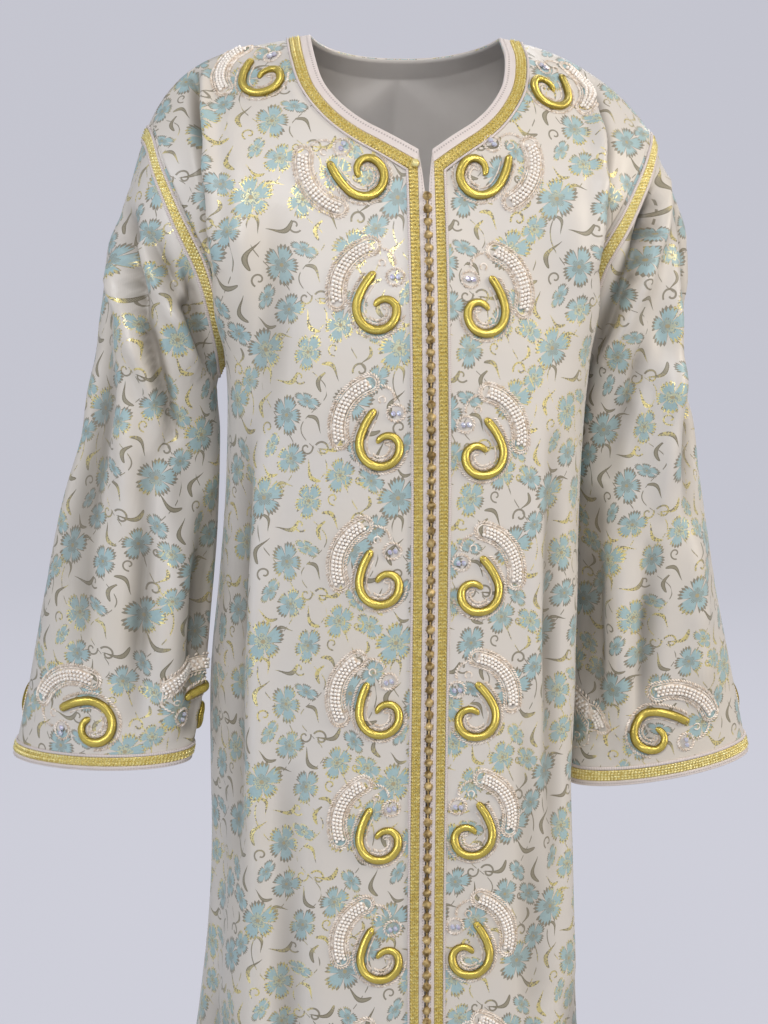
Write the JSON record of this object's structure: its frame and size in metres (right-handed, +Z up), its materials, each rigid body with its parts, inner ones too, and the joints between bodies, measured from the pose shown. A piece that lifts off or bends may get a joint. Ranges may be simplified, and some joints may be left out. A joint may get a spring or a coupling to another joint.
{
  "type": "moroccan kaftan",
  "caption": "Long ivory brocade kaftan with flared sleeves, open neck, gold braid and scrolls, and a front closed by knotted buttons.",
  "frame": {"origin": "midway between the two points where the neckline meets the shoulder seams, where the kaftan hangs on the wearer's shoulders", "axes": "+Z up, the front faces -Y, the wearer's left side is at +X"},
  "size_m": [0.7173, 0.4213, 1.4529],
  "materials": {
    "brocade": "ivory satin brocade with pale aqua and taupe flowers",
    "gold_braid": "braided gold metallic thread",
    "gold_scroll": "padded gold thread cord",
    "pale_trim": "pale woven edging and cord",
    "button_thread": "dull antique gold knotted thread"
  },
  "bodies": {
    "root": {"front_left": "brocade", "front_right": "brocade", "back": "brocade", "sleeve_left": "brocade", "sleeve_right": "brocade", "neck_edging_left": "pale_trim", "neck_edging_right": "pale_trim", "neck_braid_left": "gold_braid", "neck_braid_right": "gold_braid", "neck_piping_left": "pale_trim", "neck_piping_right": "pale_trim", "armhole_inner_cord_left": "pale_trim", "armhole_inner_cord_right": "pale_trim", "armhole_braid_left": "gold_braid", "armhole_braid_right": "gold_braid", "armhole_outer_cord_left": "pale_trim", "armhole_outer_cord_right": "pale_trim", "cuff_cord_left": "pale_trim", "cuff_cord_right": "pale_trim", "cuff_braid_left": "gold_braid", "cuff_braid_right": "gold_braid", "cuff_edging_left": "pale_trim", "cuff_edging_right": "pale_trim", "scroll_shoulder_left": "gold_scroll", "scroll_neck_left": "gold_scroll", "scroll_front_01_left": "gold_scroll", "scroll_front_02_left": "gold_scroll", "scroll_front_03_left": "gold_scroll", "scroll_front_04_left": "gold_scroll", "scroll_front_05_left": "gold_scroll", "scroll_front_06_left": "gold_scroll", "scroll_front_07_left": "gold_scroll", "scroll_front_08_left": "gold_scroll", "scroll_front_09_left": "gold_scroll", "scroll_front_10_left": "gold_scroll", "scroll_front_11_left": "gold_scroll", "scroll_cuff_1_left": "gold_scroll", "scroll_cuff_2_left": "gold_scroll", "scroll_cuff_3_left": "gold_scroll", "scroll_cuff_4_left": "gold_scroll", "scroll_shoulder_right": "gold_scroll", "scroll_neck_right": "gold_scroll", "scroll_front_01_right": "gold_scroll", "scroll_front_02_right": "gold_scroll", "scroll_front_03_right": "gold_scroll", "scroll_front_04_right": "gold_scroll", "scroll_front_05_right": "gold_scroll", "scroll_front_06_right": "gold_scroll", "scroll_front_07_right": "gold_scroll", "scroll_front_08_right": "gold_scroll", "scroll_front_09_right": "gold_scroll", "scroll_front_10_right": "gold_scroll", "scroll_front_11_right": "gold_scroll", "scroll_cuff_1_right": "gold_scroll", "scroll_cuff_2_right": "gold_scroll", "scroll_cuff_3_right": "gold_scroll", "scroll_cuff_4_right": "gold_scroll", "buttons": "button_thread"}
  },
  "joints": []
}
